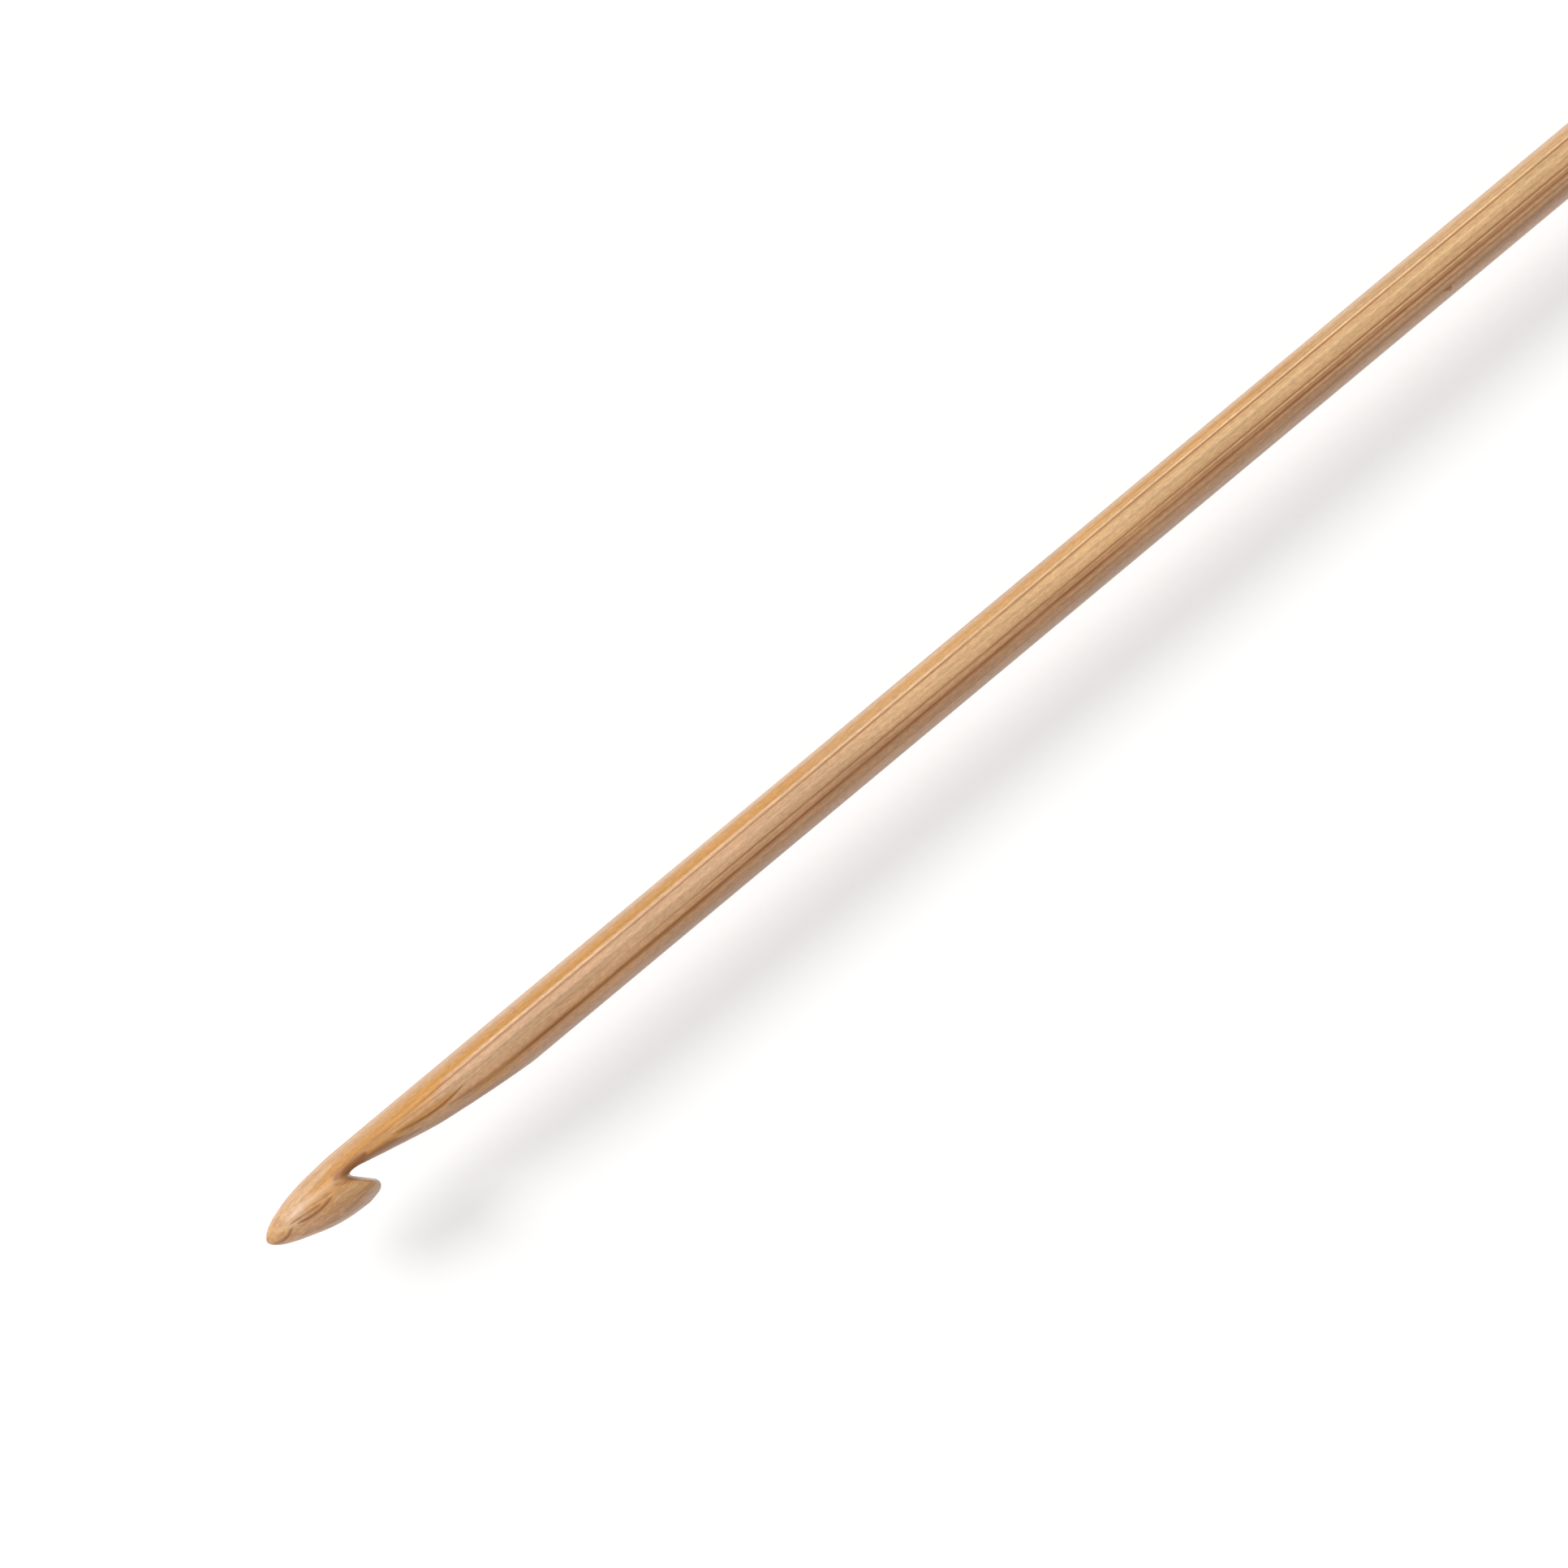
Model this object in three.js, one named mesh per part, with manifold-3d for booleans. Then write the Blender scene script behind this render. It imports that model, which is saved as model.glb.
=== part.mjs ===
// A bamboo crochet hook cut from one round stick, lying on its side.
// Millimetres, +Z up. The shaft runs along X with the nose at -X and the butt at +X, and the throat faces -Y.
// The origin is on the surface that the hook lies on, below the shaft's axis and midway along its length.
// The stick is one piece. Its solid is in two, cut square across where the taper ends, so that the short carved
// head and the long plain shaft are each a simple body.
import * as THREE from "three";
import { mergeVertices } from "three/addons/utils/BufferGeometryUtils.js";
import Module from "manifold-3d";

// Driving dimensions.
const GAUGE = 4; // shaft diameter, which is the size the hook is sold by
const LENGTH = 150; // nose to butt
const BUTT_ROUND = 0.6; // radius of the eased edge round the butt
const BUTT_RINGS = 4;
const SIDES = 32; // flats round the stick, one of them underneath

// The head, in shaft diameters. Lengths are from the nose.
const HEAD_LENGTH = 5.6; // past the end of the taper
const NOSE_LENGTH = 1.9; // where the nose reaches its full thickness
const NOSE_FULLNESS = 1.77; // 2 is an ellipse, and less is more pointed
const NOSE_RINGS = 16;
const TIP_OFFSET = 0.03; // how far the tip is from the axis, away from the throat's side
const TIP_SETTLES = 1.1; // where the nose is back on the axis
const BELLY_WIDER = 0.065; // share by which the head is wider than it is thick
const WIDENS_FROM = 0.4;
const WIDENS_TO = 1.2;
const BELLY_OFFSET = 0.034; // how far the head leans to the throat's side
const LEANS_FROM = 0.6;
const LEANS_TO = 1.5;
const BELLY_FADES = 1.9;
const BELLY_ENDS = 3;
const NECK_RINGS = 6; // between the nose and the belly's end

const RADIUS = GAUGE / 2;
const HALF_SIDE = Math.PI / SIDES;
const NOSE_X = -LENGTH / 2;

const wasm = await Module();
wasm.setup();

// A body turned about the stick's axis from half an outline, where x is the radius and y the distance from the
// nose. Its flats, and not its corners, are at the stated radius.
function turned(outline) {
  const geometry = new THREE.LatheGeometry(outline, SIDES, HALF_SIDE);
  geometry.scale(1 / Math.cos(HALF_SIDE), 1, 1 / Math.cos(HALF_SIDE));
  return geometry.rotateZ(-Math.PI / 2);
}

// The nose's radius at a distance along it, both in shaft diameters.
function noseRadius(along) {
  const left = 1 - along / NOSE_LENGTH;
  return 0.5 * Math.pow(1 - left * left, 1 / NOSE_FULLNESS);
}

// 1 where the belly is full and 0 at the nose's tip and on the shaft. It rises between the two places given.
function belly(along, from, to) {
  const rise = THREE.MathUtils.smoothstep(along, from, to);
  return rise * (1 - THREE.MathUtils.smoothstep(along, BELLY_FADES, BELLY_ENDS));
}

// How far the middle of the head is from the axis, towards the throat's side.
function lean(along) {
  const settled = THREE.MathUtils.smoothstep(along, 0, TIP_SETTLES);
  return BELLY_OFFSET * belly(along, LEANS_FROM, LEANS_TO) - TIP_OFFSET * (1 - settled);
}

// Half the head's outline, with its rings closest together at the tip.
function headOutline() {
  const outline = [];
  for (let i = 0; i <= NOSE_RINGS; i++) {
    const along = NOSE_LENGTH * (1 - Math.cos((i / NOSE_RINGS) * (Math.PI / 2)));
    outline.push(new THREE.Vector2(noseRadius(along) * GAUGE, along * GAUGE));
  }
  for (let i = 1; i <= NECK_RINGS; i++) {
    const along = THREE.MathUtils.lerp(NOSE_LENGTH, BELLY_ENDS, i / NECK_RINGS);
    outline.push(new THREE.Vector2(RADIUS, along * GAUGE));
  }
  outline.push(new THREE.Vector2(RADIUS, HEAD_LENGTH * GAUGE));
  outline.push(new THREE.Vector2(0, HEAD_LENGTH * GAUGE));
  return outline;
}

// The head before the throat is cut: turned, then widened and leant a little to the throat's side.
function headBlank() {
  const geometry = turned(headOutline());
  const places = geometry.getAttribute("position");
  for (let i = 0; i < places.count; i++) {
    const along = places.getX(i) / GAUGE;
    const wider = 1 + BELLY_WIDER * belly(along, WIDENS_FROM, WIDENS_TO);
    places.setY(i, places.getY(i) * wider - lean(along) * GAUGE);
  }
  return geometry.translate(NOSE_X, 0, RADIUS);
}

// What the mill takes away: the throat, the undercut face and rounded end of the lip, and the taper behind them.
// Its outline is in shaft diameters, x from the nose and y from the axis towards the throat's side.
function throatCutter() {
  const outline = new THREE.Shape();
  outline.moveTo(5.9, 0.525);
  outline.lineTo(5.5, 0.5);
  outline.bezierCurveTo(4.9, 0.458, 4.2, 0.38, 3.6, 0.297);
  outline.bezierCurveTo(3.35, 0.26, 2.6, 0.083, 2.15, -0.026);
  outline.quadraticCurveTo(2.05, -0.054, 1.94, -0.056);
  outline.bezierCurveTo(1.84, -0.058, 1.765, -0.045, 1.845, 0.048);
  outline.lineTo(2.085, 0.298);
  outline.bezierCurveTo(2.166, 0.372, 2.162, 0.475, 2.03, 0.52);
  outline.quadraticCurveTo(1.93, 0.55, 1.7, 0.575);
  outline.lineTo(1.7, 0.9);
  outline.lineTo(5.9, 0.9);
  const geometry = new THREE.ExtrudeGeometry(outline, { depth: 2, bevelEnabled: false, curveSegments: 10 });
  geometry.scale(GAUGE, -GAUGE, GAUGE);
  return geometry.translate(NOSE_X, 0, RADIUS - GAUGE);
}

// The plain round shaft, from the end of the taper to the flat sawn butt with its eased edge.
function shaftStick() {
  const outline = new THREE.Path();
  outline.moveTo(0, HEAD_LENGTH * GAUGE);
  outline.lineTo(RADIUS, HEAD_LENGTH * GAUGE);
  outline.absarc(RADIUS - BUTT_ROUND, LENGTH - BUTT_ROUND, BUTT_ROUND, 0, Math.PI / 2, false);
  outline.lineTo(0, LENGTH);
  return turned(outline.getPoints(BUTT_RINGS)).translate(NOSE_X, 0, RADIUS);
}

// A three.js geometry as a solid. A mirrored one has its faces turned the right way out again.
function solid(geometry, mirrored = false) {
  geometry.deleteAttribute("normal");
  geometry.deleteAttribute("uv");
  const merged = mergeVertices(geometry);
  const corners = Array.from(merged.index.array);
  const triVerts = [];
  for (let i = 0; i < corners.length; i += 3) {
    const [a, b, c] = corners.slice(i, i + 3);
    if (a === b || b === c || c === a) continue;
    triVerts.push(...(mirrored ? [a, c, b] : [a, b, c]));
  }
  const mesh = new wasm.Mesh({
    numProp: 3,
    vertProperties: merged.getAttribute("position").array,
    triVerts: new Uint32Array(triVerts),
  });
  return new wasm.Manifold(mesh);
}

// A solid back as a three.js geometry.
function geometryOf(made) {
  const mesh = made.getMesh();
  const geometry = new THREE.BufferGeometry();
  geometry.setAttribute("position", new THREE.BufferAttribute(mesh.vertProperties, 3));
  geometry.setIndex(new THREE.BufferAttribute(mesh.triVerts, 1));
  geometry.computeVertexNormals();
  return geometry;
}

// Honey-coloured bamboo under a satin lacquer.
function bamboo() {
  return new THREE.MeshStandardMaterial({ color: 0xd9a86c, roughness: 0.42, metalness: 0 });
}

function hookHead() {
  const cut = solid(headBlank()).subtract(solid(throatCutter(), true));
  const mesh = new THREE.Mesh(geometryOf(cut), bamboo());
  mesh.name = "hook_head";
  return mesh;
}

function shaft() {
  const mesh = new THREE.Mesh(shaftStick(), bamboo());
  mesh.name = "shaft";
  return mesh;
}

const hook = new THREE.Group();
hook.name = "crochet_hook";
hook.add(hookHead(), shaft());

export default hook;
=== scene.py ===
import math

import bpy
import numpy as np
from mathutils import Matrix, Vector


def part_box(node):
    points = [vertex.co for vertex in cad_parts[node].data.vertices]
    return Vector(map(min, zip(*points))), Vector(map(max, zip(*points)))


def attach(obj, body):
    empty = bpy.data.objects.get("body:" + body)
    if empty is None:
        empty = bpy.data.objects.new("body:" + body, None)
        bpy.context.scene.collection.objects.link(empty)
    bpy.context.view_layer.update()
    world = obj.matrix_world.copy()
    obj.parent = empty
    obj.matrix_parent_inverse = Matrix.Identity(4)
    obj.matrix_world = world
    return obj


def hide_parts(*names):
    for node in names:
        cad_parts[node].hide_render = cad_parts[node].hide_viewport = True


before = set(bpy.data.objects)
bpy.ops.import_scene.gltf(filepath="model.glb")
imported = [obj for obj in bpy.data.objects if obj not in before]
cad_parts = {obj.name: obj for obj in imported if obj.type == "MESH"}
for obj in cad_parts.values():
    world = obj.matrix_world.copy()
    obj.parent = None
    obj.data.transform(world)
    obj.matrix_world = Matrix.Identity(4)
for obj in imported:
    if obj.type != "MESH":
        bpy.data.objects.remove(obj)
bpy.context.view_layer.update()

# ----------------------------------------------------------------------------------------------------------
# Sizes. Everything about the shape is in gauges: a gauge is the shaft's diameter. s is the distance from the
# nose, t the distance from the axis towards the throat's side, and h the height above or below the axis.

SHAFT_LOW, SHAFT_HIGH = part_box("shaft")
HEAD_LOW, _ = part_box("hook_head")
GAUGE = SHAFT_HIGH.z - SHAFT_LOW.z
NOSE_X = HEAD_LOW.x
AXIS_Z = (SHAFT_HIGH.z + SHAFT_LOW.z) / 2
LENGTH = (SHAFT_HIGH.x - NOSE_X) / GAUGE
RADIUS = 0.5

# The uncut stick: a pointed nose, then a belly that widens and leans towards the throat's side and fades into
# the round shaft.
NOSE_LENGTH = 1.9
NOSE_FULLNESS = 1.77
TIP_OFFSET, TIP_SETTLES = 0.03, 1.1
BELLY_WIDER, WIDENS_FROM, WIDENS_TO = 0.065, 0.4, 1.2
BELLY_OFFSET, LEANS_FROM, LEANS_TO = 0.034, 0.6, 1.5
BELLY_FADES, BELLY_ENDS = 1.9, 3.0
BUTT_ROUND = 0.15

# The line of the cut, as Bezier curves: how many points each gets, and the (s, t) that shape it.
TAPER_START = 5.5
CUT_CURVES = (
    (130, (TAPER_START, 0.5), (4.9, 0.458), (4.2, 0.38), (3.6, 0.297)),  # taper
    (130, (3.6, 0.297), (3.35, 0.26), (2.6, 0.083), (2.15, -0.026)),  # neck
    (40, (2.15, -0.026), (2.05, -0.054), (1.94, -0.056)),  # throat's floor
    (50, (1.94, -0.056), (1.84, -0.058), (1.765, -0.045), (1.845, 0.048)),  # throat's corner
    (60, (1.845, 0.048), (2.085, 0.298)),  # lip's face
    (80, (2.085, 0.298), (2.166, 0.372), (2.162, 0.475), (2.03, 0.52)),  # lip's round end
    (60, (2.03, 0.52), (1.93, 0.55), (1.7, 0.575)),  # out across the belly
)
LIP_END = 5  # the curve whose middle is the tip of the lip

# How finely the surface is made.
RING_HALF = 56  # faces from the back edge over the top to the throat's side
EDGE_SAMPLES = 600
SLICE_SAMPLES = 260
WALL_SAMPLES = 12
SHAFT_SLICES = 40
TAPER_SLICES = 64
FAN_SLICES = 190
BUTT_STEPS = 6
RING_GAP = 0.02  # between the shaft's rings and what they meet
TINY = 1e-9


# ----------------------------------------------------------------------------------------------------------
# The hook's outline as seen from above.

def smoothstep(value, low, high):
    x = np.clip((value - low) / (high - low), 0, 1)
    return x * x * (3 - 2 * x)


def blank_section(s):
    """The uncut stick's section at s: its centre, its half-width across and its half-thickness."""
    left = 1 - np.clip(s, 0, NOSE_LENGTH) / NOSE_LENGTH
    thick = RADIUS * np.power(np.clip(1 - left * left, 0, 1), 1 / NOSE_FULLNESS)
    fading = 1 - smoothstep(s, BELLY_FADES, BELLY_ENDS)
    wider = 1 + BELLY_WIDER * smoothstep(s, WIDENS_FROM, WIDENS_TO) * fading
    lean = BELLY_OFFSET * smoothstep(s, LEANS_FROM, LEANS_TO) * fading
    lean = lean - TIP_OFFSET * (1 - smoothstep(s, 0, TIP_SETTLES))
    return lean, thick * wider, thick


def bezier(points, count):
    """Points along a Bezier curve of any degree, without its last one."""
    u = np.linspace(0, 1, count, endpoint=False)[:, None]
    level = [np.broadcast_to(np.array(p, float), (count, 2)) for p in points]
    while len(level) > 1:
        level = [a * (1 - u) + b * u for a, b in zip(level, level[1:])]
    return level[0]


def cut_outline():
    """The line along which the throat is cut away, from the start of the taper to the tip of the lip, and on
    from there until it leaves the stick on the belly."""
    line = np.vstack([bezier(points, count) for count, *points in CUT_CURVES])
    centre, half, _ = blank_section(line[:, 0])
    leaves = np.nonzero(line[:, 1] < centre + half)[0][-1]
    tip = sum(count for count, *_ in CUT_CURVES[:LIP_END]) + CUT_CURVES[LIP_END][0] // 2
    return line[: tip + 1], line[tip: leaves + 1]


def outer_outline(start, end):
    """The stick's own edge, from its back at start, round the nose, to the belly at end."""
    turn = np.linspace(0, math.pi / 2, EDGE_SAMPLES)
    back = start * (1 - np.sin(turn))
    front = end * (1 - np.cos(turn))[1:]
    centre, half, _ = blank_section(back)
    on_back = np.stack([back, centre - half], 1)
    centre, half, _ = blank_section(front)
    return np.vstack([on_back, np.stack([front, centre + half], 1)])


def lengths(path):
    """How far along a path each of its points is."""
    return np.concatenate([[0], np.cumsum(np.linalg.norm(np.diff(path, axis=0), axis=1))])


def along(path, distance):
    """The points at these distances along a path."""
    at = lengths(path)
    return np.stack([np.interp(distance, at, path[:, i]) for i in range(path.shape[1])], 1)


def where(path, s, t):
    """How far along a path its point nearest to (s, t) is."""
    return lengths(path)[np.linalg.norm(path - (s, t), axis=1).argmin()]


# How the cut's edge is sanded round, from the taper to the lip's tip: how far in it starts, and the share of
# the stick's thickness that is gone at the very edge.
EDGE_ZONES = (
    # s, reach, gone: along the taper and the neck
    (TAPER_START, 0.04, 0.00),
    (4.8, 0.14, 0.30),
    (4.0, 0.24, 0.60),
    (3.2, 0.30, 0.72),
    (2.6, 0.26, 0.66),
    (2.2, 0.18, 0.50),
)
THROAT_EDGE = (0.13, 0.35)
LIP_EDGE = (0.10, 0.40)
TIP_EDGE = (0.17, 1.00)
NECK_SIDE = 0.2  # a point of the cut with a larger t is on the taper or the lip, not in the throat
THROAT_LEAD, LIP_LEAD, TIP_LEAD, TIP_FULL = 0.3, 0.15, 0.22, 0.02  # lengths of the changes between them


def edge_rounding(path):
    """Reach and share gone at each point of the whole cut outline."""
    s, t = path[:, 0], path[:, 1]
    at = lengths(path)
    throat = at[np.where(t > NECK_SIDE, np.inf, s).argmin()]
    tip = at[np.where(at < throat, -np.inf, s + t).argmax()]
    zones = np.array(EDGE_ZONES)[::-1]
    edge = np.stack([np.interp(s, zones[:, 0], zones[:, 1]), np.interp(s, zones[:, 0], zones[:, 2])], 1)
    for next_edge, start, end in (
        (THROAT_EDGE, throat - THROAT_LEAD, throat),
        (LIP_EDGE, throat, throat + LIP_LEAD),
        (TIP_EDGE, tip - TIP_LEAD, tip - TIP_FULL),
    ):
        edge = edge + (np.array(next_edge) - edge) * smoothstep(at, start, end)[:, None]
    return edge[:, 0], edge[:, 1]


# ----------------------------------------------------------------------------------------------------------
# The hook's surface, as rings over and under the lines that run across it from its outer edge to the cut.

def height(points, cut, reach, gone):
    """How high the hook's surface is over these points of the outline."""
    centre, half, thick = blank_section(points[:, 0])
    off = (points[:, 1] - centre) / np.maximum(half, TINY)
    blank = thick * np.sqrt(np.clip(1 - off * off, 0, 1))
    apart = np.linalg.norm(points[:, None] - cut[None], axis=2)
    near = apart.argmin(1)
    inward = np.clip(1 - apart.min(1) / reach[near], 0, 1)
    return blank * (1 - gone[near] * (1 - np.sqrt(1 - inward * inward)))


def slice_ring(a, b, cut, reach, gone):
    """One closed ring of points over and under the line from a to b, evenly spaced along the surface."""
    share = (1 - np.cos(np.linspace(0, math.pi, SLICE_SAMPLES))) / 2
    line = a + (b - a) * share[:, None]
    up = height(line, cut, reach, gone)
    wall = np.linspace(0, 1, WALL_SAMPLES, endpoint=False)[:, None]
    first = np.hstack([np.repeat(line[:1], WALL_SAMPLES, 0), wall * up[0]])
    last = np.hstack([np.repeat(line[-1:], WALL_SAMPLES, 0), wall[::-1] * up[-1]])
    over = np.vstack([first, np.hstack([line, up[:, None]]), last])
    over = along(over, np.linspace(0, lengths(over)[-1], RING_HALF + 1))
    over[0, 2] = over[-1, 2] = 0
    under = over[-2:0:-1] * (1, 1, -1)
    return np.vstack([over, under])


# Along the taper the lines are square to the stick. Then they fan out round the throat: one end creeps past
# the throat and up the lip's face while the other goes round the nose and back along the belly. Each row has
# the (s, t) of a line's end on the outer edge and of its end on the cut.
SQUARE_FROM, SQUARE_TO = 5.45, 2.75
FAN = (
    ((2.75, -0.50), (2.75, 0.135)),
    ((2.25, -0.51), (2.32, 0.02)),
    ((1.80, -0.48), (2.03, -0.05)),
    ((1.25, -0.46), (1.87, -0.055)),
    ((0.75, -0.40), (1.82, -0.04)),
    ((0.35, -0.28), (1.812, -0.02)),
    ((0.10, -0.18), (1.813, 0.00)),
    ((0.00, -0.03), (1.83, 0.03)),
    ((0.10, 0.12), (1.86, 0.06)),
    ((0.40, 0.27), (1.90, 0.105)),
    ((0.80, 0.41), (1.94, 0.147)),
    ((1.25, 0.52), (1.99, 0.20)),
    ((1.65, 0.55), (2.03, 0.24)),
    ((1.90, 0.55), (2.07, 0.285)),
    ((2.02, 0.522), (2.105, 0.325)),
    ((2.11, 0.475), (2.13, 0.37)),
)
FINE_STEPS, SMOOTHING = 40, 16  # steps between two rows, and how many of them each way are averaged


def smooth_steps(keys, count):
    """Distances for count lines that pass through the keys without a sudden change of pace."""
    keys = np.asarray(keys, float)
    steps = np.linspace(0, len(keys) - 1, FINE_STEPS * len(keys))
    fine = np.interp(steps, np.arange(len(keys)), keys)
    kernel = np.hanning(2 * SMOOTHING + 1)
    kernel /= kernel.sum()
    before = 2 * fine[0] - fine[SMOOTHING:0:-1]
    after = 2 * fine[-1] - fine[-2:-2 - SMOOTHING:-1]
    fine = np.convolve(np.concatenate([before, fine, after]), kernel, "valid")
    return np.interp(np.linspace(0, 1, count), np.linspace(0, 1, len(fine)), fine)


def head_rings():
    """The rings from the start of the taper to the lip, and the tip of the lip."""
    to_tip, past_tip = cut_outline()
    cut = np.vstack([to_tip, past_tip[1:]])
    reach, gone = edge_rounding(cut)
    outer = outer_outline(TAPER_START, past_tip[-1, 0])
    outer = np.vstack([outer, past_tip[::-1][1:]])

    square = np.linspace(SQUARE_FROM, SQUARE_TO, TAPER_SLICES, endpoint=False)
    on_back = outer[:EDGE_SAMPLES, 0]
    a_square = np.interp(square, on_back[::-1], lengths(outer)[:EDGE_SAMPLES][::-1])
    on_taper = to_tip[: to_tip[:, 0].argmin(), 0]
    b_square = np.interp(square, on_taper[::-1], lengths(to_tip)[: len(on_taper)][::-1])

    a_keys = [where(outer, *a) for a, _ in FAN] + [lengths(outer)[-1]]
    b_keys = [where(to_tip, *b) for _, b in FAN] + [lengths(to_tip)[-1]]
    ends_a = along(outer, np.concatenate([a_square, smooth_steps(a_keys, FAN_SLICES)[:-1]]))
    ends_b = along(to_tip, np.concatenate([b_square, smooth_steps(b_keys, FAN_SLICES)[:-1]]))
    rings = [slice_ring(a, b, cut, reach, gone) for a, b in zip(ends_a, ends_b)]
    return rings, np.array([*to_tip[-1], 0.0])


def round_ring(s, radius):
    """A ring of the round shaft, started at its back edge as the head's rings are."""
    turn = np.arange(2 * RING_HALF) * math.pi / RING_HALF
    return np.stack([np.full(2 * RING_HALF, s), -radius * np.cos(turn), radius * np.sin(turn)], 1)


BUTT_FACE_RINGS = (0.06, 0.14, 0.22, 0.29, RADIUS - BUTT_ROUND - 0.008)


def shaft_rings():
    """The rings from the middle of the butt's face to the start of the taper."""
    rings = [round_ring(LENGTH, radius) for radius in BUTT_FACE_RINGS]
    for step in range(BUTT_STEPS + 1):
        turn = step / BUTT_STEPS * math.pi / 2
        rings.append(round_ring(
            LENGTH - BUTT_ROUND * (1 - math.cos(turn)),
            RADIUS - BUTT_ROUND * (1 - math.sin(turn)),
        ))
    straight = np.linspace(LENGTH - BUTT_ROUND - RING_GAP, TAPER_START + RING_GAP, SHAFT_SLICES)
    return rings + [round_ring(s, RADIUS) for s in straight]


def in_frame(points):
    """Points from gauges to the shared frame, in metres."""
    points = np.asarray(points, float).reshape(-1, 3)
    return np.stack([
        NOSE_X + points[:, 0] * GAUGE,
        -points[:, 1] * GAUGE,
        AXIS_Z + points[:, 2] * GAUGE,
    ], 1)


def build_hook():
    """The whole hook as one closed mesh, from the middle of its butt to the tip of its lip."""
    to_lip, lip_tip = head_rings()
    rings = shaft_rings() + to_lip
    size = 2 * RING_HALF
    places = np.vstack([in_frame([(LENGTH, 0, 0)])] + [in_frame(r) for r in rings] + [in_frame(lip_tip)])
    faces = [(0, 1 + (i + 1) % size, 1 + i) for i in range(size)]
    for ring in range(len(rings) - 1):
        here = 1 + ring * size
        for i in range(size):
            j = (i + 1) % size
            faces.append((here + i, here + j, here + size + j, here + size + i))
    here = 1 + (len(rings) - 1) * size
    faces += [(here + i, here + (i + 1) % size, len(places) - 1) for i in range(size)]
    mesh = bpy.data.meshes.new("hook")
    mesh.from_pydata(places.tolist(), [], faces)
    mesh.validate()
    mesh.polygons.foreach_set("use_smooth", [True] * len(mesh.polygons))
    hook = bpy.data.objects.new("hook", mesh)
    bpy.context.scene.collection.objects.link(hook)
    return hook


# ----------------------------------------------------------------------------------------------------------
# A short way to write nodes.

class Nodes:
    def __init__(self, tree):
        self.tree = tree

    def add(self, kind, inputs=(), **settings):
        node = self.tree.nodes.new(kind)
        for name, value in settings.items():
            setattr(node, name, value)
        for name, value in dict(inputs).items():
            self.put(node.inputs[name], value)
        return node

    def put(self, socket, value):
        if isinstance(value, bpy.types.NodeSocket):
            self.tree.links.new(value, socket)
        else:
            socket.default_value = value

    def math(self, operation, a, b=0.0):
        return self.add("ShaderNodeMath", {0: a, 1: b}, operation=operation).outputs[0]

    def times(self, *values):
        """The product of several values."""
        total = values[0]
        for value in values[1:]:
            total = self.math("MULTIPLY", total, value)
        return total

    def fade(self, value, low, high, at_low=0.0, at_high=1.0):
        """at_low up to low, at_high past high, and a smooth step between."""
        steps = {"Value": value, "From Min": low, "From Max": high, "To Min": at_low, "To Max": at_high}
        return self.add("ShaderNodeMapRange", steps, interpolation_type="SMOOTHSTEP").outputs["Result"]

    def scaled(self, vector, by):
        return self.add("ShaderNodeVectorMath", {0: vector, 1: by}, operation="MULTIPLY").outputs[0]

    def vector(self, x, y, z=0.0):
        return self.add("ShaderNodeCombineXYZ", {0: x, 1: y, 2: z}).outputs[0]

    def noise(self, place, texture, output="Fac"):
        by, detail, roughness = texture
        inputs = {"Vector": self.scaled(place, by), "Scale": 1.0, "Detail": detail, "Roughness": roughness}
        return self.add("ShaderNodeTexNoise", inputs).outputs[output]

    def mix(self, share, a, b, blend="MIX"):
        """A mix of two colours, which are the node's inputs 6 and 7, and its output 2."""
        node = self.add("ShaderNodeMix", data_type="RGBA", blend_type=blend)
        self.put(node.inputs[0], share)
        self.put(node.inputs[6], a)
        self.put(node.inputs[7], b)
        return node.outputs[2]

    def ramp(self, value, stops):
        node = self.add("ShaderNodeValToRGB", {0: value})
        elements = node.color_ramp.elements
        while len(elements) < len(stops):
            elements.new(1.0)
        for element, (position, colour) in zip(elements, stops):
            element.position = position
            element.color = (*colour, 1)
        return node.outputs[0]


# ----------------------------------------------------------------------------------------------------------
# Bamboo under a satin lacquer, with some painted shade and painted highlight. The grain is laid out in
# gauges, in the same s, t and h as the shape.

# The grain that shows on top, with some painted shade and painted highlight: from (s, t) to (s, t), how far
# it bows towards the throat's side, width, softness of its edges, and strength.
AMBER = (
    ((-0.35, -0.030), (0.55, -0.030), 0.00, 0.60, 0.9, 0.45),
    ((0.75, -0.060), (2.9, -0.080), 0.00, 0.90, 0.9, 0.70),
    ((0.90, -0.160), (4.3, -0.240), -0.02, 0.52, 0.9, 1.00),
    ((1.10, 0.100), (2.30, 0.300), 0.00, 0.42, 0.9, 0.40),
    ((1.9, -0.150), (4.3, 0.060), 0.02, 0.26, 0.9, 0.85),
    ((2.4, -0.310), (13.0, -0.370), 0.00, 0.20, 0.8, 0.95),
    ((10.0, -0.365), (24.0, -0.405), 0.00, 0.18, 0.9, 0.65),
    ((4.2, 0.265), (10.0, 0.235), 0.00, 0.13, 0.9, 0.70),
)
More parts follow.
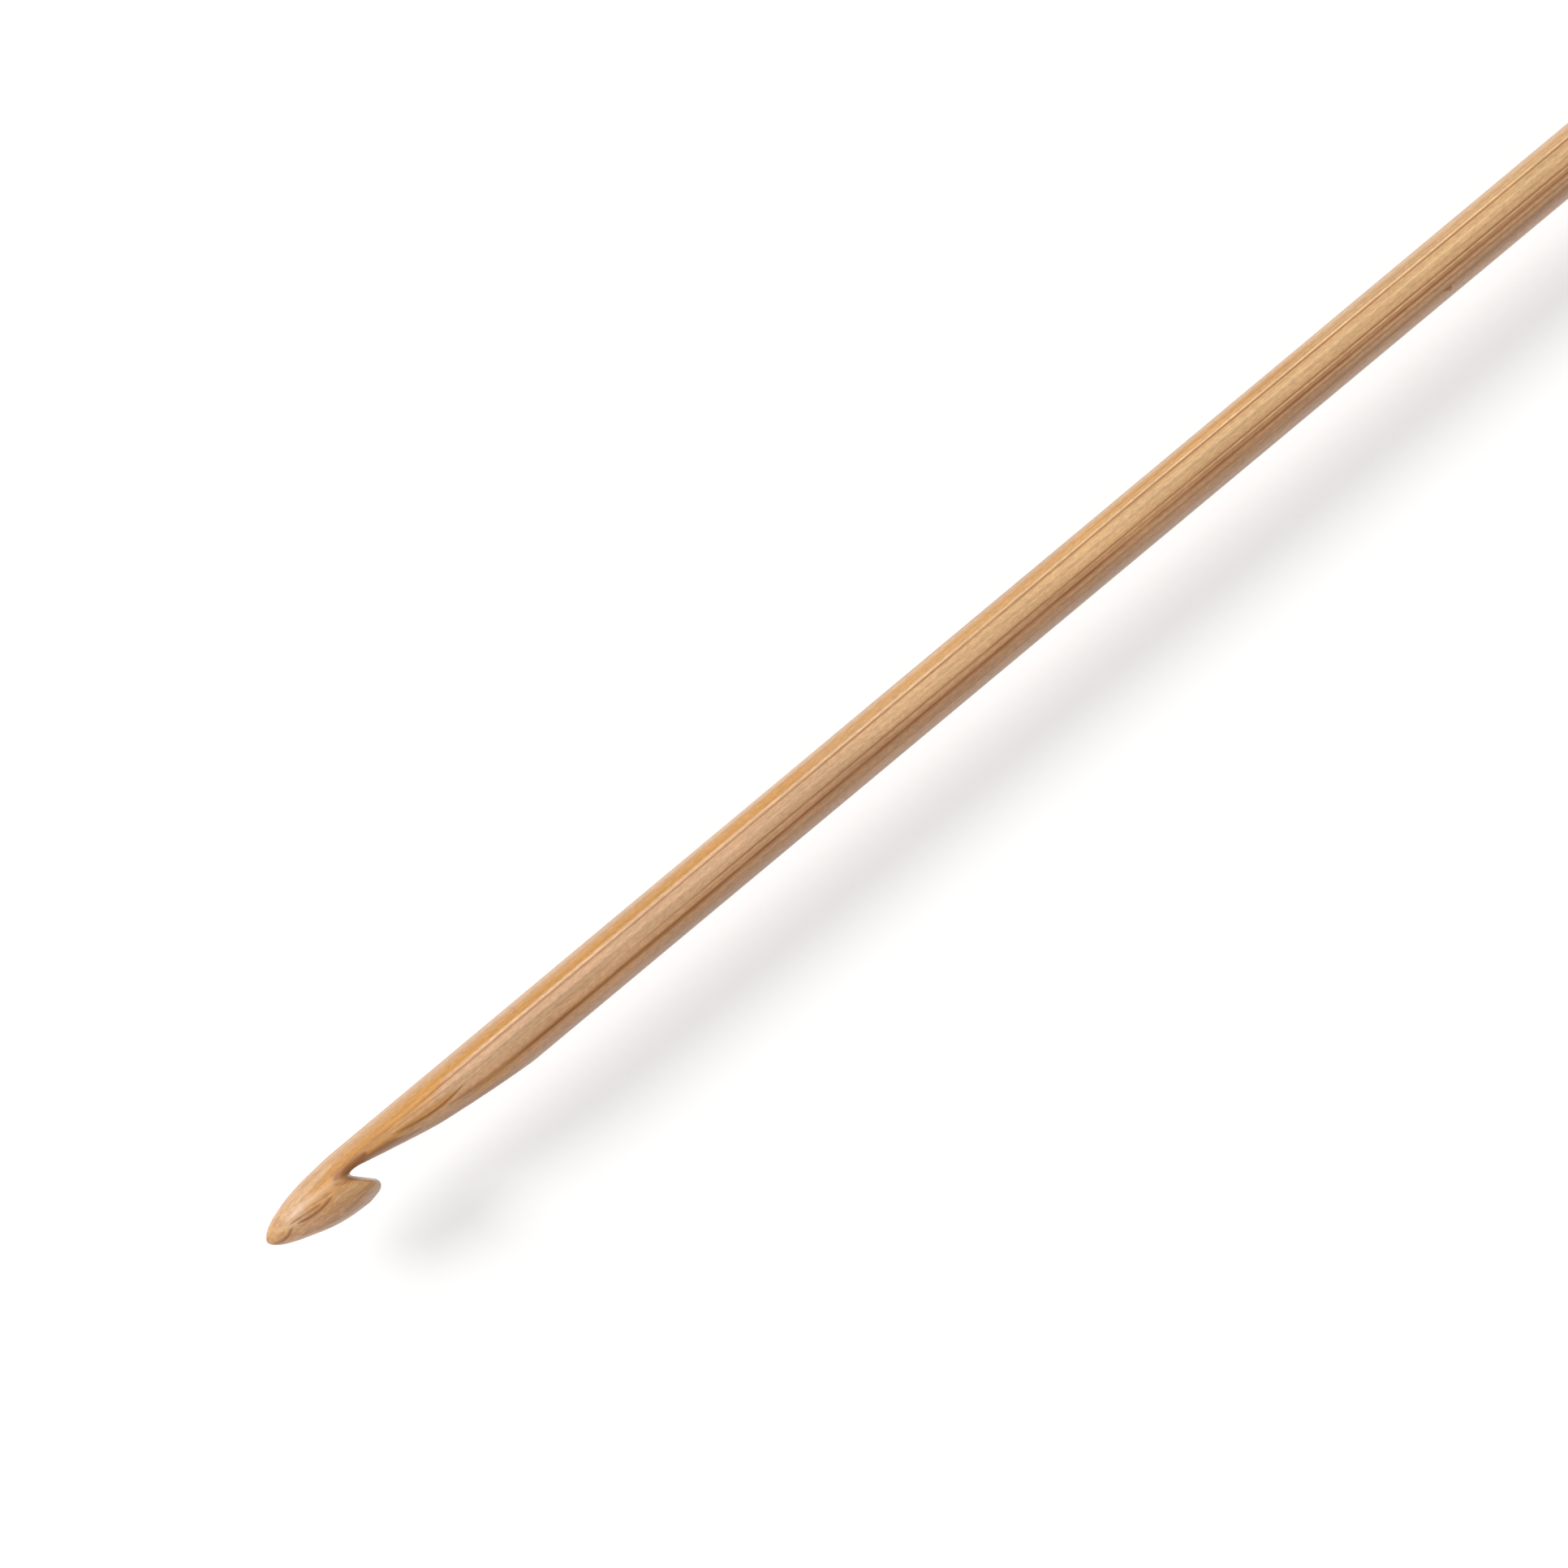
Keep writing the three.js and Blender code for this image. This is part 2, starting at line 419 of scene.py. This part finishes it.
DARK_GRAIN_AND_SHADE = (
    # Lines of the shaft: each strong one has a soft flank and a fine core.
    ((4.4, 0.262), (20.0, 0.168), 0.00, 0.130, 0.9, 0.60),
    ((4.4, 0.256), (20.0, 0.166), 0.00, 0.050, 0.7, 1.00),
    ((18.0, 0.176), (44.0, 0.120), 0.00, 0.115, 0.9, 0.62),
    ((18.0, 0.174), (44.0, 0.118), 0.00, 0.046, 0.7, 1.00),
    ((7.5, 0.105), (20.0, 0.055), -0.005, 0.075, 0.9, 0.45),
    ((9.0, 0.098), (20.0, 0.055), -0.005, 0.034, 0.7, 0.85),
    ((17.5, 0.052), (44.0, 0.048), 0.00, 0.045, 0.7, 0.78),
    ((16.0, 0.120), (44.0, 0.105), 0.00, 0.045, 0.9, 0.45),
    ((9.0, 0.160), (18.0, 0.150), 0.00, 0.050, 0.9, 0.30),
    ((20.0, 0.250), (44.0, 0.225), 0.00, 0.040, 0.9, 0.48),
    ((17.0, 0.285), (24.0, 0.290), 0.00, 0.040, 0.9, 0.40),
    ((21.0, 0.345), (44.0, 0.320), 0.00, 0.065, 0.9, 0.48),
    ((10.0, 0.330), (22.0, 0.400), 0.00, 0.045, 0.9, 0.25),
    ((2.6, -0.185), (16.0, -0.248), 0.00, 0.040, 0.7, 0.62),
    ((12.0, -0.232), (20.5, -0.285), 0.00, 0.045, 0.7, 0.70),
    ((18.0, -0.282), (44.0, -0.288), 0.00, 0.045, 0.7, 0.80),
    ((17.0, -0.395), (44.0, -0.415), 0.00, 0.045, 0.9, 0.30),
    ((22.0, -0.350), (44.0, -0.358), 0.00, 0.030, 0.9, 0.28),
    ((20.0, -0.235), (44.0, -0.240), 0.00, 0.030, 0.9, 0.20),
    ((23.0, -0.060), (44.0, -0.070), 0.00, 0.040, 0.9, 0.22),
    ((6.2, 0.030), (7.8, 0.050), 0.00, 0.130, 0.9, 0.20),
    # A small blemish low on the shaft.
    ((25.79, 0.352), (25.97, 0.366), 0.00, 0.070, 0.9, 0.95),
    ((25.86, 0.390), (25.96, 0.393), 0.00, 0.050, 0.9, 0.80),
    # Streaks of the taper.
    ((2.50, -0.160), (4.60, -0.060), 0.000, 0.060, 0.9, 0.45),
    ((2.75, -0.120), (4.45, 0.020), 0.115, 0.095, 0.9, 0.60),
    ((2.90, -0.090), (4.40, 0.020), 0.100, 0.055, 0.7, 0.95),
    ((3.00, -0.050), (4.30, -0.010), 0.030, 0.050, 0.9, 0.50),
    ((3.80, 0.130), (5.80, 0.255), 0.030, 0.120, 0.9, 0.55),
    # Painted shade: darkening at the throat's end, on the neck's edges and along the taper's lower edge,
    # which turn away from the key.
    ((1.54, -0.120), (2.36, -0.135), 0.000, 0.310, 0.9, 0.95),
    ((1.70, -0.150), (3.00, 0.060), 0.000, 0.190, 0.9, 0.75),
    ((1.50, -0.190), (3.00, -0.200), 0.000, 0.170, 0.9, 0.42),
    ((1.70, -0.140), (3.40, 0.180), 0.010, 0.160, 0.9, 0.60),
    ((1.50, -0.070), (1.95, 0.100), 0.000, 0.170, 0.9, 0.55),
    ((2.60, 0.080), (5.40, 0.450), 0.060, 0.170, 0.9, 0.40),
    # Streaks of the head.
    ((0.58, 0.030), (1.45, 0.050), 0.070, 0.110, 0.9, 0.70),
    ((0.64, 0.035), (1.42, 0.050), 0.072, 0.050, 0.7, 1.00),
    ((0.48, -0.025), (1.20, 0.050), 0.000, 0.070, 0.9, 0.75),
    ((0.95, -0.050), (1.50, 0.020), 0.000, 0.050, 0.9, 0.48),
    ((0.04, 0.030), (0.55, 0.020), 0.085, 0.085, 0.8, 0.85),
    ((1.30, 0.410), (1.92, 0.380), 0.015, 0.060, 0.9, 0.50),
    ((0.50, 0.230), (1.35, 0.440), 0.020, 0.110, 0.9, 0.42),
    ((1.00, 0.250), (1.75, 0.280), 0.020, 0.045, 0.9, 0.30),
)
PALE_GRAIN_AND_HIGHLIGHT = (
    ((4.0, -0.238), (16.0, -0.290), 0.00, 0.055, 0.9, 0.62),
    ((12.0, -0.275), (20.5, -0.322), 0.00, 0.050, 0.9, 0.58),
    ((18.0, -0.320), (44.0, -0.325), 0.00, 0.050, 0.9, 0.66),
    ((17.0, -0.160), (44.0, -0.180), 0.00, 0.160, 0.9, 0.22),
    ((20.0, 0.082), (44.0, 0.078), 0.00, 0.036, 0.9, 0.35),
    ((21.0, 0.205), (44.0, 0.185), 0.00, 0.040, 0.9, 0.50),
    ((21.0, 0.290), (44.0, 0.275), 0.00, 0.045, 0.9, 0.45),
    # The next two rows are a painted highlight on the head: the key's reflection on its upper side and near
    # the nose.
    ((0.45, -0.190), (1.80, -0.370), 0.00, 0.150, 0.9, 0.42),
    ((0.20, -0.060), (0.72, 0.020), 0.00, 0.130, 0.9, 0.40),
    ((1.30, 0.160), (2.30, 0.240), 0.00, 0.260, 0.9, 0.30),
)
POINTED_UNDER = 3.5  # gauges: shorter streaks run out in points
BLUNT, POINTED = 1.0, 0.10  # width at a streak's ends, as a share of its full width
FULL_WIDTH_AT, FULL_STRENGTH_AT = 0.8, 0.35  # on an arch that is 0 at a streak's ends and 1 at its middle
AMBER_COLOUR = (0.58, 0.265, 0.050, 1)
PALE_COLOUR = (0.82, 0.56, 0.32, 1)
UMBER_COLOUR = (0.29, 0.095, 0.020, 1)

# The ground colour across the shaft, from its back to the throat's side, near the head and towards the butt.
# The stops at 0.00 and 1.00 are less red and bluer: partly a painted reflection of the white surroundings at
# the rims.
NEAR_HEAD = (
    (0.00, (0.58, 0.35, 0.18)),
    (0.25, (0.62, 0.345, 0.165)),
    (0.42, (0.62, 0.365, 0.195)),
    (0.55, (0.585, 0.34, 0.175)),
    (0.68, (0.58, 0.315, 0.15)),
    (0.88, (0.57, 0.305, 0.15)),
    (1.00, (0.54, 0.30, 0.165)),
)
NEAR_BUTT = (
    (0.00, (0.58, 0.37, 0.20)),
    (0.12, (0.56, 0.32, 0.13)),
    (0.30, (0.61, 0.36, 0.15)),
    (0.52, (0.63, 0.37, 0.165)),
    (0.60, (0.56, 0.30, 0.13)),
    (0.78, (0.55, 0.295, 0.145)),
    (1.00, (0.56, 0.33, 0.19)),
)
TONE_CHANGES = (9.0, 19.0)  # s

# Each noise: how finely it varies per gauge along the stick, across it and through it, its detail and its
# roughness.
WANDER_NOISE = ((0.30, 0.6, 0.6), 1.0, 0.5)
BREAK_NOISE = ((0.9, 9.0, 9.0), 3.0, 0.5)
WARP_NOISE = ((0.12, 2.0, 2.0), 1.0, 0.5)
FIBRE_NOISE = ((0.09, 20.0, 20.0), 3.0, 0.6)
TISSUE_NOISE = ((8.0, 30.0, 30.0), 2.0, 0.7)
PATCH_NOISE = ((0.45, 2.4, 2.4), 2.0, 0.5)

# What comes of a noise: its low and its high value, and the strength, shade or roughness at each.
BROKEN = (0.30, 0.55, 0.70, 1.0)
FIBRE_SHADE = (0.25, 0.75, 0.86, 1.12)
TISSUE_SHADE = (0.3, 0.7, 0.87, 1.13)
PATCH_SHADE = (0.25, 0.75, 0.93, 1.06)
FIBRE_ROUGHNESS = (0.2, 0.8, 0.40, 0.52)

# Where the grain, and the painted shade and highlight among the streaks, show: from one height or s to
# another, and how strongly at each.
STREAKS_BY_HEIGHT = (-0.05, 0.12, 0.0, 1.0)
BUNDLES_BY_HEIGHT = (0.05, 0.32, 0.50, 0.10)
ON_BUTT = (LENGTH - BUTT_ROUND, LENGTH - 0.02, 0.0, 1.0)
DARK_ON_BUTT, BUNDLES_ON_BUTT = 0.2, 0.75

WANDER = 0.016  # gauges: how much the streaks wander sideways
BUNDLES = 6.4  # across a gauge
BUNDLE_CORE, BUNDLE_EDGE = 0.08, 0.34  # radii, as shares of the space between bundles
BUNDLE_DISORDER = 0.8
BUNDLE_WARP = (1.1, 1.1, 0.0)  # in the same measure as BUNDLES
DARK_ROUGHER = 0.08
FIBRE_RELIEF, TISSUE_RELIEF = 0.7, 0.3
BUMP_STRENGTH, BUMP_DEPTH = 0.5, 0.00002  # depth in metres


def streak_group():
    """A node group that is 1 along one streak on top of the hook, and 0 away from it. The streaks are grain,
    painted shade and painted highlight.
    """
    group = bpy.data.node_groups.new("streak", "ShaderNodeTree")
    for name in ("s", "t", "From s", "To s", "From t", "To t", "Bow", "Width", "Soft", "Blunt"):
        group.interface.new_socket(name, in_out="INPUT", socket_type="NodeSocketFloat")
    group.interface.new_socket("Mask", in_out="OUTPUT", socket_type="NodeSocketFloat")
    n = Nodes(group)
    given = group.nodes.new("NodeGroupInput").outputs
    share = {"Value": given["s"], "From Min": given["From s"], "From Max": given["To s"]}
    share = n.add("ShaderNodeMapRange", share).outputs["Result"]
    rise = n.times(n.math("SUBTRACT", given["To t"], given["From t"]), share)
    arch = n.times(share, n.math("SUBTRACT", 1.0, share), 4.0)
    centre = n.math("ADD", n.math("ADD", given["From t"], rise), n.times(given["Bow"], arch))
    off = n.math("ABSOLUTE", n.math("SUBTRACT", given["t"], centre))
    width = n.times(given["Width"], n.fade(arch, 0.0, FULL_WIDTH_AT, given["Blunt"], 1.0))
    off = n.math("DIVIDE", n.times(off, 2.0), width)
    across = n.fade(off, n.math("SUBTRACT", 1.0, given["Soft"]), 1.0, 1.0, 0.0)
    mask = n.times(across, n.fade(arch, 0.0, FULL_STRENGTH_AT))
    group.links.new(mask, group.nodes.new("NodeGroupOutput").inputs["Mask"])
    return group


def streaks(n, group, s, t, rows):
    """The strongest of several streaks at each place."""
    total = None
    for (from_s, from_t), (to_s, to_t), bow, width, soft, strength in rows:
        places = {
            "s": s, "t": t, "From s": from_s, "To s": to_s, "From t": from_t, "To t": to_t,
            "Bow": bow, "Width": width, "Soft": soft,
            "Blunt": BLUNT if to_s - from_s > POINTED_UNDER else POINTED,
        }
        mask = n.times(n.add("ShaderNodeGroup", places, node_tree=group).outputs["Mask"], strength)
        total = mask if total is None else n.math("MAXIMUM", total, mask)
    return total


def place_in_gauges(n):
    """Where a point of the hook is, as s, t and h."""
    return n.add(
        "ShaderNodeMapping",
        {
            "Vector": n.add("ShaderNodeTexCoord").outputs["Object"],
            "Location": (-NOSE_X / GAUGE, 0, -AXIS_Z / GAUGE),
            "Scale": (1 / GAUGE, -1 / GAUGE, 1 / GAUGE),
        },
    ).outputs[0]


def fibre_bundles(n, place, t, h):
    """The bundles of fibre all through the stick: dots on the butt, lines along the shaft, ovals on a cut."""
    warp = n.scaled(n.noise(place, WARP_NOISE, output="Color"), BUNDLE_WARP)
    section = n.vector(n.times(t, BUNDLES), n.times(h, BUNDLES))
    section = n.add("ShaderNodeVectorMath", {0: section, 1: warp}, operation="ADD").outputs[0]
    cells = {"Vector": section, "Scale": 1.0, "Randomness": BUNDLE_DISORDER}
    cells = n.add("ShaderNodeTexVoronoi", cells, voronoi_dimensions="2D")
    return n.fade(cells.outputs["Distance"], BUNDLE_CORE, BUNDLE_EDGE, 1.0, 0.0)


def fine_grain(n, place):
    """The fibre, the tissue between, and how much lighter or darker they and larger patches make the wood."""
    fibre = n.noise(place, FIBRE_NOISE)
    tissue = n.noise(place, TISSUE_NOISE)
    patch = n.noise(place, PATCH_NOISE)
    shade = n.times(n.fade(fibre, *FIBRE_SHADE), n.fade(tissue, *TISSUE_SHADE), n.fade(patch, *PATCH_SHADE))
    return fibre, tissue, shade


def lacquer(shader):
    """A thin satin coat, with the faint bloom that it has at the rim."""
    shader.inputs["Sheen Weight"].default_value = 0.12
    shader.inputs["Sheen Roughness"].default_value = 0.4
    shader.inputs["Sheen Tint"].default_value = (0.80, 0.90, 1.0, 1)
    shader.inputs["Coat Weight"].default_value = 0.35
    shader.inputs["Coat Roughness"].default_value = 0.28


def bamboo_material():
    material = bpy.data.materials.new("bamboo")
    material.use_nodes = True
    n = Nodes(material.node_tree)
    shader = material.node_tree.nodes["Principled BSDF"]

    place = place_in_gauges(n)
    split = n.add("ShaderNodeSeparateXYZ", {0: place}).outputs
    s, h = split["X"], split["Z"]
    wander = n.math("SUBTRACT", n.noise(place, WANDER_NOISE), 0.5)
    t = n.math("ADD", split["Y"], n.times(wander, WANDER))
    on_top = n.fade(h, *STREAKS_BY_HEIGHT)
    on_butt = n.fade(s, *ON_BUTT)

    across = n.math("ADD", t, RADIUS)
    # The ground colour, with a painted reflection at both rims.
    ground = n.mix(n.fade(s, *TONE_CHANGES), n.ramp(across, NEAR_HEAD), n.ramp(across, NEAR_BUTT))

    group = streak_group()
    broken = n.fade(n.noise(place, BREAK_NOISE), *BROKEN)
    amber = n.times(streaks(n, group, s, t, AMBER), on_top)
    # Pale grain lines, and the painted highlight on the head.
    pale_grain_and_highlight = n.times(streaks(n, group, s, t, PALE_GRAIN_AND_HIGHLIGHT), on_top, broken)
    off_butt = n.fade(on_butt, 0.0, 1.0, 1.0, DARK_ON_BUTT)
    # Dark grain lines and a blemish, and the painted shade at the throat's end and on the edges of the neck
    # and taper.
    dark_grain_and_shade = n.times(streaks(n, group, s, t, DARK_GRAIN_AND_SHADE), on_top, broken, off_butt)

    shown = n.math("MAXIMUM", n.fade(h, *BUNDLES_BY_HEIGHT), n.times(on_butt, BUNDLES_ON_BUTT))
    bundles = n.times(fibre_bundles(n, place, t, h), shown)

    fibre, tissue, shade = fine_grain(n, place)
    colour = n.mix(amber, ground, AMBER_COLOUR)
    colour = n.mix(pale_grain_and_highlight, colour, PALE_COLOUR)
    colour = n.mix(1.0, colour, n.vector(shade, shade, shade), "MULTIPLY")
    colour = n.mix(n.math("MAXIMUM", dark_grain_and_shade, bundles), colour, UMBER_COLOUR)
    n.put(shader.inputs["Base Color"], colour)

    rough = n.math("ADD", n.fade(fibre, *FIBRE_ROUGHNESS), n.times(dark_grain_and_shade, DARK_ROUGHER))
    n.put(shader.inputs["Roughness"], rough)

    relief = n.math("ADD", n.times(fibre, FIBRE_RELIEF), n.times(tissue, TISSUE_RELIEF))
    bump = n.add("ShaderNodeBump", {"Strength": BUMP_STRENGTH, "Distance": BUMP_DEPTH, "Height": relief})
    n.put(shader.inputs["Normal"], bump.outputs[0])
    lacquer(shader)
    return material


# ----------------------------------------------------------------------------------------------------------
# Studio: white surroundings, a soft key from the back left, and a white floor a little below the hook.

WHITE = (1, 1, 1, 1)
FLOOR_DROP = 1.93 * GAUGE
FLOOR_SIDE = 4.0
FLOOR_WHITE = 0.67
FLOOR_GLOW = 0.393
KEY_TOWARDS = (-0.584, 0.812)
KEY_ZENITH = math.radians(41.6)
KEY_STRENGTH = 1.46
KEY_SPREAD = math.radians(18)
SKY_DIM, SKY_BRIGHT = 0.35, 0.90


def white_floor():
    side = FLOOR_SIDE / 2
    mesh = bpy.data.meshes.new("floor")
    corners = [(-side, -side, 0), (side, -side, 0), (side, side, 0), (-side, side, 0)]
    mesh.from_pydata(corners, [], [(0, 1, 2, 3)])
    floor = bpy.data.objects.new("floor", mesh)
    floor.location.z = SHAFT_LOW.z - FLOOR_DROP
    bpy.context.scene.collection.objects.link(floor)
    material = bpy.data.materials.new("floor_white")
    material.use_nodes = True
    shader = material.node_tree.nodes["Principled BSDF"]
    shader.inputs["Base Color"].default_value = (FLOOR_WHITE, FLOOR_WHITE, FLOOR_WHITE, 1)
    shader.inputs["Roughness"].default_value = 1.0
    shader.inputs["Emission Color"].default_value = WHITE
    shader.inputs["Emission Strength"].default_value = FLOOR_GLOW
    shader.inputs["Specular IOR Level"].default_value = 0.0
    mesh.materials.append(material)


def white_room():
    """Surroundings that are white to look at. What they shed is brighter on the key's side."""
    world = bpy.data.worlds.new("studio")
    world.use_nodes = True
    n = Nodes(world.node_tree)
    direction = n.add("ShaderNodeTexCoord").outputs["Generated"]
    facing = {0: direction, 1: (*KEY_TOWARDS, 0)}
    facing = n.add("ShaderNodeVectorMath", facing, operation="DOT_PRODUCT").outputs["Value"]
    level = n.fade(facing, -1, 1, SKY_DIM, SKY_BRIGHT)
    shed = n.add("ShaderNodeBackground", {"Color": WHITE, "Strength": level})
    seen = world.node_tree.nodes["Background"]
    seen.inputs["Color"].default_value = WHITE
    seen.inputs["Strength"].default_value = 1.0
    looked_at = n.add("ShaderNodeLightPath").outputs["Is Camera Ray"]
    mix = n.add("ShaderNodeMixShader", {0: looked_at, 1: shed.outputs[0], 2: seen.outputs[0]})
    n.put(world.node_tree.nodes["World Output"].inputs["Surface"], mix.outputs[0])
    bpy.context.scene.world = world


def key_light():
    key = bpy.data.lights.new("key", "SUN")
    key.energy = KEY_STRENGTH
    key.angle = KEY_SPREAD
    lamp = bpy.data.objects.new("key", key)
    lamp.rotation_euler = (0, KEY_ZENITH, math.atan2(KEY_TOWARDS[1], KEY_TOWARDS[0]))
    bpy.context.scene.collection.objects.link(lamp)


VIEW_WIDTH = 26.77  # gauges across the picture
VIEW_CENTRE = (11.79, -0.397)  # s and t
VIEW_TURN = math.radians(-39.81)
LENS, SENSOR = 200, 36  # millimetres
CLIP_NEAR, CLIP_FAR = 0.01, 20


def camera_above():
    """A camera that looks straight down, turned so that the hook rises to the upper right."""
    camera = bpy.data.cameras.new("camera")
    camera.lens = LENS
    camera.sensor_width = SENSOR
    camera.clip_start = CLIP_NEAR
    camera.clip_end = CLIP_FAR
    eye = bpy.data.objects.new("camera", camera)
    x, y, z = in_frame([(*VIEW_CENTRE, 0)])[0]
    eye.location = (x, y, z + VIEW_WIDTH * GAUGE * LENS / SENSOR)
    eye.rotation_euler = (0, 0, VIEW_TURN)
    bpy.context.scene.collection.objects.link(eye)
    bpy.context.scene.camera = eye


camera_above()
white_room()
key_light()
white_floor()
hook = build_hook()
hook.data.materials.append(bamboo_material())
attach(hook, "root")
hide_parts("hook_head", "shaft")
bpy.context.scene.view_settings.view_transform = "Standard"
